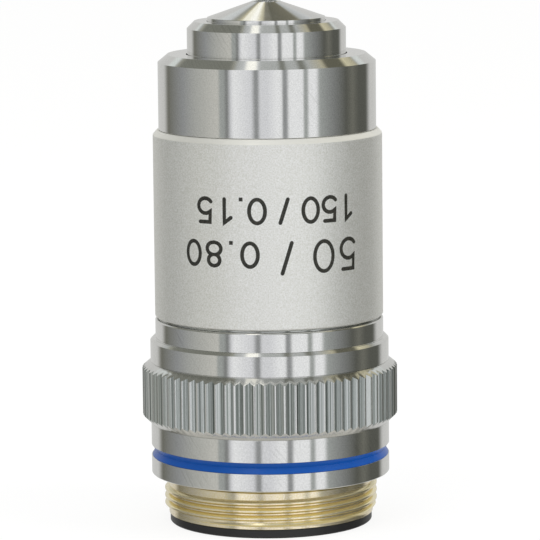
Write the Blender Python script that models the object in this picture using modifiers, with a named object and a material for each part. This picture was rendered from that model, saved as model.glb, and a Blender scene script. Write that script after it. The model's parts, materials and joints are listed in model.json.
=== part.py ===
"""Spring-loaded dry microscope objective, standing on its rear end with the front lens up.

Metres, +Z along the optical axis towards the specimen, origin at the centre of the rear end. Every turned
piece shares that axis. The lens barrel and all that it carries slide down into the fixed barrel.
"""

import math

import bmesh
import bpy
from mathutils import Matrix

MM = 0.001

# Clearances between pieces
SEAT_GAP = 0.03 * MM
FIT_GAP = 0.05 * MM
SLIDE_GAP = 0.06 * MM
NOSE_GAP = 0.10 * MM
COLLAR_GAP = 0.20 * MM
TAIL_CLEARANCE = 0.20 * MM

# Moving lens barrel
LENS_BARREL_RADIUS = 7.47 * MM
LENS_BARREL_WALL = 1.17 * MM
COLLAR_RISE = 1.33 * MM
COLLAR_LENGTH = 3.80 * MM
NOSE_TRAVEL = 2.50 * MM
NOSE_STANDOUT = 3.08 * MM
NOSE_BEVEL_WIDTH = 0.69 * MM
NOSE_BEVEL_HEIGHT = 0.68 * MM
NOSE_LIP_WIDTH = 0.70 * MM
NOSE_LIP_THICKNESS = 1.00 * MM
TAIL_SETBACK = 0.35 * MM

# Nose cone and front lens
CONE_RIM_HEIGHT = 0.32 * MM
CONE_HEIGHT = 1.45 * MM
CONE_TIP_RIM = 0.35 * MM
CONE_TIP_ROUNDING = 0.05 * MM
CONE_FLANGE_LENGTH = 1.94 * MM
CONE_WALL = 0.95 * MM
CONE_ROOF = 0.90 * MM
CONE_WELL_WIDTH = 0.95 * MM
FRONT_LENS_RADIUS = 1.00 * MM
FRONT_LENS_EDGE = 0.07 * MM
FRONT_LENS_RECESS = 0.03 * MM
FRONT_LENS_BORE_LENGTH = 1.10 * MM

# Front cap
CAP_LENGTH = 7.10 * MM
CAP_SETBACK = 0.55 * MM
CAP_BEVEL_WIDTH = 0.90 * MM
CAP_BEVEL_HEIGHT = 0.74 * MM
CAP_ROOF = 2.65 * MM
CAP_SPIGOT_WALL = 0.63 * MM
CAP_SPIGOT_LENGTH = 3.40 * MM

# Sleeve
SLEEVE_WALL = 1.12 * MM
SLEEVE_LENGTH = 17.70 * MM
SLEEVE_BEVEL_WIDTH = 0.40 * MM
SLEEVE_BEVEL_HEIGHT = 0.45 * MM
SLEEVE_FOOT_ROUNDING = 0.15 * MM

# Main barrel
BARREL_RISE = 0.50 * MM
LOWER_LENGTH = 4.88 * MM
UPPER_LENGTH = 2.20 * MM
UPPER_BEVEL = 0.25 * MM
STEP_LENGTH = 1.85 * MM
STEP_BEVEL = 0.12 * MM
SHADOW_GROOVE_WIDTH = 0.20 * MM
SHADOW_GROOVE_DEPTH = 0.35 * MM
SPIGOT_LENGTH = 4.30 * MM
EDGE_BREAK = 0.10 * MM

# Knurled grip
KNURL_TEETH = 80
KNURL_RISE = 0.80 * MM
KNURL_LENGTH = 4.42 * MM
KNURL_FOOT_BEVEL = 0.80 * MM
KNURL_TOP_BEVEL = 0.65 * MM
KNURL_DEPTH = 0.38 * MM
KNURL_FLANK_ANGLE = math.radians(41.0)

# Colour band
BAND_HEIGHT = 1.69 * MM
BAND_WIDTH = 1.06 * MM
BAND_GROOVE_DEPTH = 0.60 * MM
BAND_GROOVE_SLOPE = 0.16 * MM
BAND_HOLLOW = 0.36 * MM
BAND_EDGE_DROP = 0.04 * MM

# Screw mount and rear ring
MOUNT_HEIGHT = 4.70 * MM
THREAD_RADIUS = 10.10 * MM
THREAD_BEVEL_HEIGHT = 0.50 * MM
PILOT_RELIEF = 0.40 * MM
PILOT_LENGTH = 0.27 * MM
NECK_RELIEF = 0.30 * MM
NECK_LENGTH = 0.70 * MM
UNDERCUT_MARGIN = 0.06 * MM
UNDERCUT_DEPTH = 0.30 * MM
MOUNT_SPIGOT_WALL = 1.53 * MM
MOUNT_SPIGOT_LENGTH = 4.50 * MM
RING_SEAT_STEP = 0.57 * MM
RING_SPIGOT_LENGTH = 1.60 * MM
RING_SPIGOT_WALL = 1.20 * MM
RING_HEIGHT = 0.83 * MM
RING_INSET = 0.10 * MM
RING_EDGE_BREAK = 0.12 * MM

# Return spring
SPRING_WIRE = 0.70 * MM
SPRING_TURNS = 6.5
SPRING_CLOSED_TURNS = 1.0
SPRING_CLOSED_GAP = 0.06 * MM
SPRING_POINTS_A_TURN = 12

# Guide screw and its slot
SCREW_HEAD_RADIUS = 1.30 * MM
SCREW_HEAD_HEIGHT = 0.65 * MM
SCREW_HEAD_SINK = 0.05 * MM
SCREW_SHANK_RADIUS = 0.65 * MM
SCREW_SLOT_WIDTH = 0.30 * MM
SCREW_SLOT_DEPTH = 0.25 * MM
GUIDE_SLOT_DEPTH = 0.70 * MM
GUIDE_TIP_GAP = 0.10 * MM

# Lens stack, from the nose to the rear
MENISCUS_CELL_LENGTH = 3.54 * MM
FRONT_SPACER_LENGTH = 0.94 * MM
MIDDLE_CELL_LENGTH = 4.54 * MM
REAR_SPACER_LENGTH = 1.84 * MM
REAR_CELL_LENGTH = 4.74 * MM
APERTURE_STOP_THICKNESS = 0.37 * MM
RETAINING_RING_LENGTH = 1.97 * MM
RETAINING_RING_WALL = 1.40 * MM
SPANNER_SLOT_WIDTH = 1.20 * MM
SPANNER_SLOT_DEPTH = 0.80 * MM
APERTURE_RADIUS = 3.60 * MM
SPACER_WALL = 1.70 * MM
CELL_LIP_THICKNESS = 0.80 * MM
CELL_LIP_WIDTH = 0.40 * MM
SNOUT_LENGTH = 2.00 * MM
SNOUT_SEAT_DEPTH = 1.40 * MM
SNOUT_WELL_WIDTH = 0.80 * MM
REAR_CELL_WALL = 1.40 * MM
MIDDLE_CELL_WALL = 2.00 * MM
SNOUT_WALL = 1.70 * MM

# Lenses
REAR_FRONT_CURVE = 12.0 * MM
REAR_CEMENT_CURVE = 10.5 * MM
MIDDLE_FRONT_CURVE = 9.0 * MM
MIDDLE_CEMENT_CURVE = 8.5 * MM
MENISCUS_HOLLOW_CURVE = 7.0 * MM
MENISCUS_BACK_CURVE = 4.5 * MM
MENISCUS_EDGE = 0.60 * MM
CROWN_EDGE = 1.10 * MM
FLINT_EDGE = 1.80 * MM
CEMENT_GAP = 0.02 * MM

# Facets of the turned pieces
BARREL_SIDES = KNURL_TEETH
OUTER_SIDES = 40
INNER_SIDES = 32
SCREW_SIDES = 16
LENS_ARC_STEPS = 3
MERGE_DISTANCE = 1e-6
SHARP_ANGLE = math.radians(20.0)
CUTTER_MARGIN = 1.0 * MM

# Radii, worked outwards from the lens barrel
STACK_BORE = LENS_BARREL_RADIUS - LENS_BARREL_WALL
CELL_RADIUS = STACK_BORE - FIT_GAP
LIP_BORE = STACK_BORE - NOSE_LIP_WIDTH
CONE_RADIUS = LIP_BORE - FIT_GAP
SNOUT_BORE = CONE_RADIUS - CONE_WALL
SNOUT_RADIUS = SNOUT_BORE - FIT_GAP
MENISCUS_RADIUS = SNOUT_RADIUS - SNOUT_WALL - FIT_GAP
MIDDLE_LENS_RADIUS = CELL_RADIUS - MIDDLE_CELL_WALL - FIT_GAP
REAR_LENS_RADIUS = CELL_RADIUS - REAR_CELL_WALL - FIT_GAP
COLLAR_RADIUS = LENS_BARREL_RADIUS + COLLAR_RISE
SLIDE_BORE = LENS_BARREL_RADIUS + SLIDE_GAP
CAP_BORE = LENS_BARREL_RADIUS + NOSE_GAP
COLLAR_BORE = COLLAR_RADIUS + COLLAR_GAP
SPIGOT_RADIUS = COLLAR_BORE + CAP_SPIGOT_WALL
SLEEVE_BORE = SPIGOT_RADIUS + FIT_GAP
SLEEVE_RADIUS = SLEEVE_BORE + SLEEVE_WALL
CAP_RADIUS = SLEEVE_RADIUS - CAP_SETBACK
BARREL_RADIUS = SLEEVE_RADIUS + BARREL_RISE
KNURL_RADIUS = BARREL_RADIUS + KNURL_RISE
MOUNT_BORE = LENS_BARREL_RADIUS + TAIL_CLEARANCE
MOUNT_SPIGOT_RADIUS = MOUNT_BORE + MOUNT_SPIGOT_WALL
MOUNT_SEAT_BORE = MOUNT_SPIGOT_RADIUS + FIT_GAP
RING_SEAT_BORE = MOUNT_BORE + RING_SEAT_STEP
RING_SPIGOT_RADIUS = RING_SEAT_BORE - FIT_GAP
PILOT_RADIUS = THREAD_RADIUS - PILOT_RELIEF
NECK_RADIUS = THREAD_RADIUS - NECK_RELIEF
UNDERCUT_RADIUS = THREAD_RADIUS + UNDERCUT_MARGIN
RING_RADIUS = PILOT_RADIUS - RING_INSET
SPRING_RADIUS = (LENS_BARREL_RADIUS + COLLAR_RADIUS) / 2

# Heights above the rear end, worked upwards
MOUNT_FOOT = RING_HEIGHT + SEAT_GAP
RING_SPIGOT_TOP = RING_HEIGHT + RING_SPIGOT_LENGTH
SHOULDER = MOUNT_HEIGHT
UNDERCUT_TOP = SHOULDER + UNDERCUT_DEPTH
MOUNT_SPIGOT_TOP = SHOULDER + MOUNT_SPIGOT_LENGTH
KNURL_FOOT = SHOULDER + LOWER_LENGTH
KNURL_LOW = KNURL_FOOT + KNURL_FOOT_BEVEL
KNURL_HIGH = KNURL_LOW + KNURL_LENGTH
KNURL_TOP = KNURL_HIGH + KNURL_TOP_BEVEL
UPPER_TOP = KNURL_TOP + UPPER_LENGTH
STEP_TOP = UPPER_TOP + STEP_LENGTH
SLEEVE_FOOT = STEP_TOP + SHADOW_GROOVE_WIDTH
SPIGOT_TOP = SLEEVE_FOOT + SPIGOT_LENGTH
SLEEVE_TOP = SLEEVE_FOOT + SLEEVE_LENGTH
CAP_TOP = SLEEVE_TOP + CAP_LENGTH
CAP_STOP = CAP_TOP - CAP_ROOF
COLLAR_TOP = CAP_STOP - SEAT_GAP
COLLAR_FOOT = COLLAR_TOP - COLLAR_LENGTH
NOSE_TOP = CAP_TOP + NOSE_STANDOUT
LIP_UNDERSIDE = NOSE_TOP - NOSE_LIP_THICKNESS
LENS_BARREL_TAIL = MOUNT_SPIGOT_TOP + TAIL_SETBACK
CONE_FLANGE_TOP = LIP_UNDERSIDE - SEAT_GAP
CONE_FLANGE_FOOT = CONE_FLANGE_TOP - CONE_FLANGE_LENGTH
CONE_EDGE = NOSE_TOP + CONE_RIM_HEIGHT
TIP = CONE_EDGE + CONE_HEIGHT + CONE_TIP_ROUNDING
GUIDE_HEIGHT = SLEEVE_FOOT + SPIGOT_LENGTH / 2
BAND_MIDDLE = SHOULDER + BAND_HEIGHT + BAND_WIDTH / 2

# Lens stack from the nose cone's flange to the rear, each piece with its length
STACK = {
    "meniscus_cell": MENISCUS_CELL_LENGTH,
    "front_spacer": FRONT_SPACER_LENGTH,
    "middle_cell": MIDDLE_CELL_LENGTH,
    "rear_spacer": REAR_SPACER_LENGTH,
    "rear_cell": REAR_CELL_LENGTH,
    "aperture_stop": APERTURE_STOP_THICKNESS,
    "retaining_ring": RETAINING_RING_LENGTH,
}


def clear_scene():
    for leftover in list(bpy.data.objects):
        bpy.data.objects.remove(leftover)


def new_collection(name):
    collection = bpy.data.collections.new(name)
    bpy.context.scene.collection.children.link(collection)
    return collection


def finish(name, colour, metallic, roughness, transmission=0.0):
    material = bpy.data.materials.new(name)
    material.use_nodes = True
    shader = material.node_tree.nodes["Principled BSDF"]
    shader.inputs["Base Color"].default_value = (*colour, 1.0)
    shader.inputs["Metallic"].default_value = metallic
    shader.inputs["Roughness"].default_value = roughness
    shader.inputs["Transmission Weight"].default_value = transmission
    material.diffuse_color = (*colour, 1.0)
    return material


def made_mesh(piece):
    """Turns a piece's modifiers or curve into a plain mesh object of the same name and place."""
    graph = bpy.context.evaluated_depsgraph_get()
    mesh = bpy.data.meshes.new_from_object(piece.evaluated_get(graph))
    name, collection, place = piece.name, piece.users_collection[0], piece.matrix_world.copy()
    bpy.data.objects.remove(piece)
    solid = bpy.data.objects.new(name, mesh)
    solid.matrix_world = place
    collection.objects.link(solid)
    return solid


def turned(name, outline, sides, collection, material=None):
    """Turns an outline of (radius, height) points about +Z: over the top, down the outside, up the bore."""
    foot = min(height for radius, height in outline)
    points = [(radius, 0.0, height - foot) for radius, height in outline]
    edges = [(index, index + 1) for index in range(len(points) - 1)]
    if outline[0][0] > 0:
        edges.append((len(points) - 1, 0))
    profile = bpy.data.meshes.new(name)
    profile.from_pydata(points, edges, [])
    piece = bpy.data.objects.new(name, profile)
    collection.objects.link(piece)
    turning = piece.modifiers.new("turning", "SCREW")
    turning.steps = sides
    turning.render_steps = sides
    turning.use_merge_vertices = True
    turning.merge_threshold = MERGE_DISTANCE
    bpy.context.view_layer.update()
    solid = made_mesh(piece)
    solid.location.z = foot
    solid.data.shade_smooth()
    solid.data.set_sharp_from_angle(angle=SHARP_ANGLE)
    if material:
        solid.data.materials.append(material)
    return solid


def cut(piece, cutter, operation="DIFFERENCE"):
    cutter.hide_render = True
    cutter.display_type = "WIRE"
    boolean = piece.modifiers.new(cutter.name, "BOOLEAN")
    boolean.operation = operation
    boolean.object = cutter


def mesh_object(name, form, collection):
    mesh = bpy.data.meshes.new(name)
    form.to_mesh(mesh)
    form.free()
    piece = bpy.data.objects.new(name, mesh)
    collection.objects.link(piece)
    return piece


def box_cutter(name, size):
    form = bmesh.new()
    bmesh.ops.create_cube(form, size=1.0)
    bmesh.ops.scale(form, vec=size, verts=form.verts)
    return mesh_object(name, form, cutters)


def knurl_form():
    """Toothed prism: a ring of V grooves that stands clear of the plain cylinders beside the grip."""
    half_pitch = math.pi / KNURL_TEETH
    flank = math.tan(KNURL_FLANK_ANGLE)
    groove_radius = KNURL_RADIUS - KNURL_DEPTH
    ridge_radius = flank * groove_radius / (flank - half_pitch)
    form = bmesh.new()
    bmesh.ops.create_cone(
        form, cap_ends=True, segments=2 * KNURL_TEETH,
        radius1=ridge_radius, radius2=ridge_radius, depth=2 * SLEEVE_TOP,
    )
    for vert in form.verts:
        turn = round(math.atan2(vert.co.y, vert.co.x) / half_pitch)
        if turn % 2 == 0:
            vert.co.x *= groove_radius / ridge_radius
            vert.co.y *= groove_radius / ridge_radius
    return mesh_object("knurl_form", form, cutters)


def band_half_width(drop):
    """Half the colour groove's width at this depth below the barrel's surface."""
    return BAND_WIDTH / 2 - drop * BAND_GROOVE_SLOPE / BAND_GROOVE_DEPTH


def screw_outline(growth, reach):
    """Guide screw as (radius, distance from the optical axis), grown all round and longer at both ends."""
    top = SPIGOT_RADIUS - SCREW_HEAD_SINK
    seat = top - SCREW_HEAD_HEIGHT - growth
    tip = LENS_BARREL_RADIUS - GUIDE_SLOT_DEPTH + GUIDE_TIP_GAP - reach
    head, shank = SCREW_HEAD_RADIUS + growth, SCREW_SHANK_RADIUS + growth
    return [(0.0, top + reach), (head, top + reach), (head, seat), (shank, seat), (shank, tip), (0.0, tip)]


def lay_radial(piece):
    """Turns a piece that stands at its distance from the axis so that it points out of the barrel's back."""
    piece.location = (0.0, piece.location.z, GUIDE_HEIGHT)
    piece.rotation_euler = (-math.pi / 2, 0.0, 0.0)


def make_rear_ring():
    bore = RING_SPIGOT_RADIUS - RING_SPIGOT_WALL
    outline = [
        (bore, RING_SPIGOT_TOP), (RING_SPIGOT_RADIUS, RING_SPIGOT_TOP),
        (RING_SPIGOT_RADIUS, RING_HEIGHT), (RING_RADIUS, RING_HEIGHT),
        (RING_RADIUS, RING_EDGE_BREAK), (RING_RADIUS - RING_EDGE_BREAK, 0.0), (bore, 0.0),
    ]
    return turned("rear_ring", outline, OUTER_SIDES, parts, black_anodised)


def make_thread_mount():
    seat = UNDERCUT_TOP - SEAT_GAP
    neck_foot = SHOULDER - NECK_LENGTH
    pilot_top = MOUNT_FOOT + PILOT_LENGTH
    ring_seat = RING_SPIGOT_TOP + SEAT_GAP
    outline = [
        (MOUNT_BORE, MOUNT_SPIGOT_TOP), (MOUNT_SPIGOT_RADIUS, MOUNT_SPIGOT_TOP),
        (MOUNT_SPIGOT_RADIUS, seat), (NECK_RADIUS, seat),
        (NECK_RADIUS, neck_foot), (THREAD_RADIUS, neck_foot - NECK_RELIEF),
        (THREAD_RADIUS, pilot_top + THREAD_BEVEL_HEIGHT), (PILOT_RADIUS, pilot_top),
        (PILOT_RADIUS, MOUNT_FOOT), (RING_SEAT_BORE, MOUNT_FOOT),
        (RING_SEAT_BORE, ring_seat), (MOUNT_BORE, ring_seat),
    ]
    return turned("thread_mount", outline, OUTER_SIDES, parts, bare_brass)


def make_main_barrel():
    """Undercut at the shoulder, so that its face rests on a nosepiece clear of the thread."""
    mount_seat = MOUNT_SPIGOT_TOP + SEAT_GAP
    spigot_foot = SLEEVE_FOOT - SEAT_GAP
    shadow_radius = SLEEVE_RADIUS - SHADOW_GROOVE_DEPTH
    band_floor = BARREL_RADIUS - BAND_GROOVE_DEPTH
    rim, floor = band_half_width(0.0), band_half_width(BAND_GROOVE_DEPTH)
    outline = [
        (SLIDE_BORE, SPIGOT_TOP), (SPIGOT_RADIUS, SPIGOT_TOP), (SPIGOT_RADIUS, spigot_foot),
        (shadow_radius, spigot_foot), (shadow_radius, STEP_TOP),
        (SLEEVE_RADIUS - STEP_BEVEL, STEP_TOP), (SLEEVE_RADIUS, STEP_TOP - STEP_BEVEL),
        (SLEEVE_RADIUS, UPPER_TOP), (BARREL_RADIUS - UPPER_BEVEL, UPPER_TOP),
        (BARREL_RADIUS, UPPER_TOP - UPPER_BEVEL), (BARREL_RADIUS, KNURL_TOP),
        (KNURL_RADIUS, KNURL_HIGH), (KNURL_RADIUS, KNURL_LOW), (BARREL_RADIUS, KNURL_FOOT),
        (BARREL_RADIUS, BAND_MIDDLE + rim), (band_floor, BAND_MIDDLE + floor),
        (band_floor, BAND_MIDDLE - floor), (BARREL_RADIUS, BAND_MIDDLE - rim),
        (BARREL_RADIUS, SHOULDER + EDGE_BREAK), (BARREL_RADIUS - EDGE_BREAK, SHOULDER),
        (UNDERCUT_RADIUS, SHOULDER), (UNDERCUT_RADIUS, UNDERCUT_TOP),
        (MOUNT_SEAT_BORE, UNDERCUT_TOP), (MOUNT_SEAT_BORE, mount_seat), (SLIDE_BORE, mount_seat),
    ]
    barrel = turned("main_barrel", outline, BARREL_SIDES, parts, polished_chrome)
    cut(barrel, knurl_form(), "INTERSECT")
    hole = turned("guide_screw_hole", screw_outline(FIT_GAP, CUTTER_MARGIN), SCREW_SIDES, cutters)
    lay_radial(hole)
    cut(barrel, hole)
    return barrel


def make_colour_ring():
    """Enamel that lines the colour groove and sinks to a hollow along its middle."""
    floor_radius = BARREL_RADIUS - BAND_GROOVE_DEPTH + SEAT_GAP
    rim_radius = BARREL_RADIUS - BAND_EDGE_DROP
    rim = band_half_width(BAND_EDGE_DROP) - SEAT_GAP
    floor = band_half_width(BAND_GROOVE_DEPTH) - SEAT_GAP
    outline = [
        (floor_radius, BAND_MIDDLE + floor), (rim_radius, BAND_MIDDLE + rim),
        (BARREL_RADIUS - BAND_HOLLOW, BAND_MIDDLE),
        (rim_radius, BAND_MIDDLE - rim), (floor_radius, BAND_MIDDLE - floor),
    ]
    return turned("colour_ring", outline, BARREL_SIDES, parts, blue_enamel)


def make_sleeve():
    outline = [
        (SLEEVE_BORE, SLEEVE_TOP), (SLEEVE_RADIUS - SLEEVE_BEVEL_WIDTH, SLEEVE_TOP),
        (SLEEVE_RADIUS, SLEEVE_TOP - SLEEVE_BEVEL_HEIGHT),
        (SLEEVE_RADIUS, SLEEVE_FOOT + SLEEVE_FOOT_ROUNDING),
        (SLEEVE_RADIUS - SLEEVE_FOOT_ROUNDING, SLEEVE_FOOT), (SLEEVE_BORE, SLEEVE_FOOT),
    ]
    return turned("sleeve", outline, OUTER_SIDES, parts, satin_chrome)


def make_front_cap():
    seat = SLEEVE_TOP + SEAT_GAP
    spigot_foot = SLEEVE_TOP - CAP_SPIGOT_LENGTH
    outline = [
        (CAP_BORE, CAP_TOP), (CAP_RADIUS - CAP_BEVEL_WIDTH, CAP_TOP),
        (CAP_RADIUS, CAP_TOP - CAP_BEVEL_HEIGHT), (CAP_RADIUS, seat),
        (SPIGOT_RADIUS, seat), (SPIGOT_RADIUS, spigot_foot), (COLLAR_BORE, spigot_foot),
        (COLLAR_BORE, CAP_STOP), (CAP_BORE, CAP_STOP),
    ]
    return turned("front_cap", outline, OUTER_SIDES, parts, polished_chrome)


def spring_rise(turn):
    """Height of the wire's centre above its lowest point, with the end turns closed."""
    free_length = COLLAR_FOOT - SPIGOT_TOP - 2 * SEAT_GAP - SPRING_WIRE
    closed_pitch = SPRING_WIRE + SPRING_CLOSED_GAP
    closed_rise = SPRING_CLOSED_TURNS * closed_pitch
    open_turns = SPRING_TURNS - 2 * SPRING_CLOSED_TURNS
    if turn < SPRING_CLOSED_TURNS:
        return turn * closed_pitch
    if turn > SPRING_TURNS - SPRING_CLOSED_TURNS:
        return free_length - (SPRING_TURNS - turn) * closed_pitch
    return closed_rise + (turn - SPRING_CLOSED_TURNS) * (free_length - 2 * closed_rise) / open_turns


def make_return_spring():
    count = round(SPRING_TURNS * SPRING_POINTS_A_TURN) + 1
    wire = bpy.data.curves.new("return_spring", "CURVE")
    wire.dimensions = "3D"
    wire.bevel_depth = SPRING_WIRE / 2
    wire.bevel_resolution = 2
    wire.use_fill_caps = True
    coil = wire.splines.new("POLY")
    coil.points.add(count - 1)
    for index, point in enumerate(coil.points):
        turn = SPRING_TURNS * index / (count - 1)
        angle = 2 * math.pi * turn
        point.co = (SPRING_RADIUS * math.cos(angle), SPRING_RADIUS * math.sin(angle), spring_rise(turn), 1.0)
    wire.materials.append(spring_steel)
    spring = bpy.data.objects.new("return_spring", wire)
    parts.objects.link(spring)
    spring.location.z = SPIGOT_TOP + SEAT_GAP + SPRING_WIRE / 2
    return spring


def make_guide_screw():
    screw = turned("guide_screw", screw_outline(0.0, 0.0), SCREW_SIDES, parts, spring_steel)
    lay_radial(screw)
    slot = box_cutter("screwdriver_slot", (3 * SCREW_HEAD_RADIUS, 2 * SCREW_SLOT_DEPTH, SCREW_SLOT_WIDTH))
    slot.location = (0.0, SPIGOT_RADIUS - SCREW_HEAD_SINK, GUIDE_HEIGHT)
    cut(screw, slot)
    return screw


def guide_slot():
    """Round-ended cutter, long enough for the whole travel past the guide screw's tip."""
    radius = SCREW_SHANK_RADIUS + GUIDE_TIP_GAP
    depth = GUIDE_SLOT_DEPTH + CUTTER_MARGIN
    form = bmesh.new()
    bmesh.ops.create_cone(
        form, cap_ends=True, segments=SCREW_SIDES, radius1=radius, radius2=radius, depth=depth
    )
    half_facet = Matrix.Rotation(math.pi / SCREW_SIDES, 3, "Z")
    bmesh.ops.rotate(form, verts=form.verts, matrix=Matrix.Rotation(math.pi / 2, 3, "X") @ half_facet)
    for vert in form.verts:
        if vert.co.z > 0:
            vert.co.z += NOSE_TRAVEL
    slot = mesh_object("guide_slot", form, cutters)
    slot.location = (0.0, LENS_BARREL_RADIUS - GUIDE_SLOT_DEPTH + depth / 2, GUIDE_HEIGHT)
    return slot


def make_lens_barrel():
    outline = [
        (LIP_BORE, NOSE_TOP), (LENS_BARREL_RADIUS - NOSE_BEVEL_WIDTH, NOSE_TOP),
        (LENS_BARREL_RADIUS, NOSE_TOP - NOSE_BEVEL_HEIGHT), (LENS_BARREL_RADIUS, COLLAR_TOP),
        (COLLAR_RADIUS, COLLAR_TOP), (COLLAR_RADIUS, COLLAR_FOOT), (LENS_BARREL_RADIUS, COLLAR_FOOT),
        (LENS_BARREL_RADIUS, LENS_BARREL_TAIL), (STACK_BORE, LENS_BARREL_TAIL),
        (STACK_BORE, LIP_UNDERSIDE), (LIP_BORE, LIP_UNDERSIDE),
    ]
    barrel = turned("lens_barrel", outline, INNER_SIDES, parts, polished_chrome)
    cut(barrel, guide_slot())
    return barrel


def make_nose_cone():
    lens_bore = FRONT_LENS_RADIUS + FIT_GAP
    tip_radius = lens_bore + CONE_TIP_RIM
    well_radius = FRONT_LENS_RADIUS + CONE_WELL_WIDTH
    cavity_top = CONE_EDGE - CONE_ROOF
    well_top = TIP - FRONT_LENS_BORE_LENGTH
    outline = [
        (lens_bore, TIP), (tip_radius - CONE_TIP_ROUNDING, TIP),
        (tip_radius, TIP - CONE_TIP_ROUNDING), (CONE_RADIUS, CONE_EDGE),
        (CONE_RADIUS, CONE_FLANGE_TOP), (CELL_RADIUS, CONE_FLANGE_TOP),
        (CELL_RADIUS, CONE_FLANGE_FOOT), (SNOUT_BORE, CONE_FLANGE_FOOT),
        (SNOUT_BORE, cavity_top), (well_radius, cavity_top), (well_radius, well_top),
        (lens_bore, well_top),
    ]
    return turned("nose_cone", outline, INNER_SIDES, parts, polished_chrome)


def lens_face(radius, rim, curve):
    """Points of a lens face from the axis to its rim. A positive curve bulges towards the nose."""
    if curve == 0.0:
        return [(0.0, rim), (radius, rim)]
    opening = math.asin(radius / abs(curve))
    angles = [opening * step / LENS_ARC_STEPS for step in range(LENS_ARC_STEPS + 1)]
    return [
        (abs(curve) * math.sin(angle), rim + curve * (math.cos(angle) - math.cos(opening)))
        for angle in angles
    ]


def make_lens(name, radius, foot, edge, front_curve, back_curve):
    outline = lens_face(radius, foot + edge, front_curve) + lens_face(radius, foot, back_curve)[::-1]
    return turned(name, outline, INNER_SIDES, parts, optical_glass)


def make_doublet(name, radius, cell_foot, front_curve, cement_curve):
    """Flint with its hollow side up on the cell's lip, and the crown in the hollow."""
    flint_foot = cell_foot + CELL_LIP_THICKNESS + SEAT_GAP
    crown_foot = flint_foot + FLINT_EDGE + CEMENT_GAP
    flint = make_lens(f"{name}_flint", radius, flint_foot, FLINT_EDGE, -cement_curve, 0.0)
    crown = make_lens(f"{name}_crown", radius, crown_foot, CROWN_EDGE, front_curve, -cement_curve)
    return [flint, crown]


def make_lens_cell(name, place, lens_radius):
    foot, top = place
    bore, lip = lens_radius + FIT_GAP, lens_radius - CELL_LIP_WIDTH
    seat = foot + CELL_LIP_THICKNESS
    outline = [(bore, top), (CELL_RADIUS, top), (CELL_RADIUS, foot), (lip, foot), (lip, seat), (bore, seat)]
    return turned(name, outline, INNER_SIDES, parts, black_anodised)


def make_meniscus(place):
    """Cell whose snout reaches into the nose cone, and the meniscus on the lip inside the snout."""
    foot, top = place
    snout_top = top + SNOUT_LENGTH
    seat = snout_top - SNOUT_SEAT_DEPTH
    well_top = seat - CELL_LIP_WIDTH
    bore, lip = MENISCUS_RADIUS + FIT_GAP, MENISCUS_RADIUS - CELL_LIP_WIDTH
    well_radius = MENISCUS_RADIUS + SNOUT_WELL_WIDTH
    outline = [
        (bore, snout_top), (SNOUT_RADIUS, snout_top), (SNOUT_RADIUS, top), (CELL_RADIUS, top),
        (CELL_RADIUS, foot), (well_radius, foot), (well_radius, well_top),
        (lip, well_top), (lip, seat), (bore, seat),
    ]
    cell = turned("meniscus_cell", outline, INNER_SIDES, parts, black_anodised)
    curve = MENISCUS_BACK_CURVE
    bulge_at_lip = math.sqrt(curve**2 - lip**2) - math.sqrt(curve**2 - MENISCUS_RADIUS**2)
    lens_foot = seat + bulge_at_lip + SEAT_GAP
    lens = make_lens(
        "meniscus_lens", MENISCUS_RADIUS, lens_foot, MENISCUS_EDGE, -MENISCUS_HOLLOW_CURVE, -curve
    )
    return [cell, lens]


def make_ring(name, place, bore):
    foot, top = place
    outline = [(bore, top), (CELL_RADIUS, top), (CELL_RADIUS, foot), (bore, foot)]
    return turned(name, outline, INNER_SIDES, parts, black_anodised)


def make_retaining_ring(place):
    ring = make_ring("retaining_ring", place, CELL_RADIUS - RETAINING_RING_WALL)
    slot = box_cutter("spanner_slot", (3 * CELL_RADIUS, SPANNER_SLOT_WIDTH, 2 * SPANNER_SLOT_DEPTH))
    slot.location.z = place[0]
    cut(ring, slot)
    return ring


def make_lens_stack():
    """Cells, spacers and stop, pushed up against the nose cone's flange by the retaining ring."""
    places = {}
    level = CONE_FLANGE_FOOT
    for name, length in STACK.items():
        top = level - SEAT_GAP
        level = top - length
        places[name] = (level, top)
    middle_foot, rear_foot = places["middle_cell"][0], places["rear_cell"][0]
    return [
        *make_meniscus(places["meniscus_cell"]),
        make_ring("front_spacer", places["front_spacer"], CELL_RADIUS - SPACER_WALL),
        make_lens_cell("middle_cell", places["middle_cell"], MIDDLE_LENS_RADIUS),
        *make_doublet("middle", MIDDLE_LENS_RADIUS, middle_foot, MIDDLE_FRONT_CURVE, MIDDLE_CEMENT_CURVE),
        make_ring("rear_spacer", places["rear_spacer"], CELL_RADIUS - SPACER_WALL),
        make_lens_cell("rear_cell", places["rear_cell"], REAR_LENS_RADIUS),
        *make_doublet("rear", REAR_LENS_RADIUS, rear_foot, REAR_FRONT_CURVE, REAR_CEMENT_CURVE),
        make_ring("aperture_stop", places["aperture_stop"], APERTURE_RADIUS),
        make_retaining_ring(places["retaining_ring"]),
    ]


def make_front_lens():
    foot = TIP - FRONT_LENS_RECESS - FRONT_LENS_EDGE
    return make_lens("front_lens", FRONT_LENS_RADIUS, foot, FRONT_LENS_EDGE, 0.0, -FRONT_LENS_RADIUS)


def carry(name, pieces):
    """Parents pieces to an empty on the optical axis."""
    carrier = bpy.data.objects.new(name, None)
    parts.objects.link(carrier)
    for piece in pieces:
        piece.parent = carrier
    return carrier


clear_scene()
parts = new_collection("microscope_objective")
cutters = new_collection("cutters")

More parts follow.
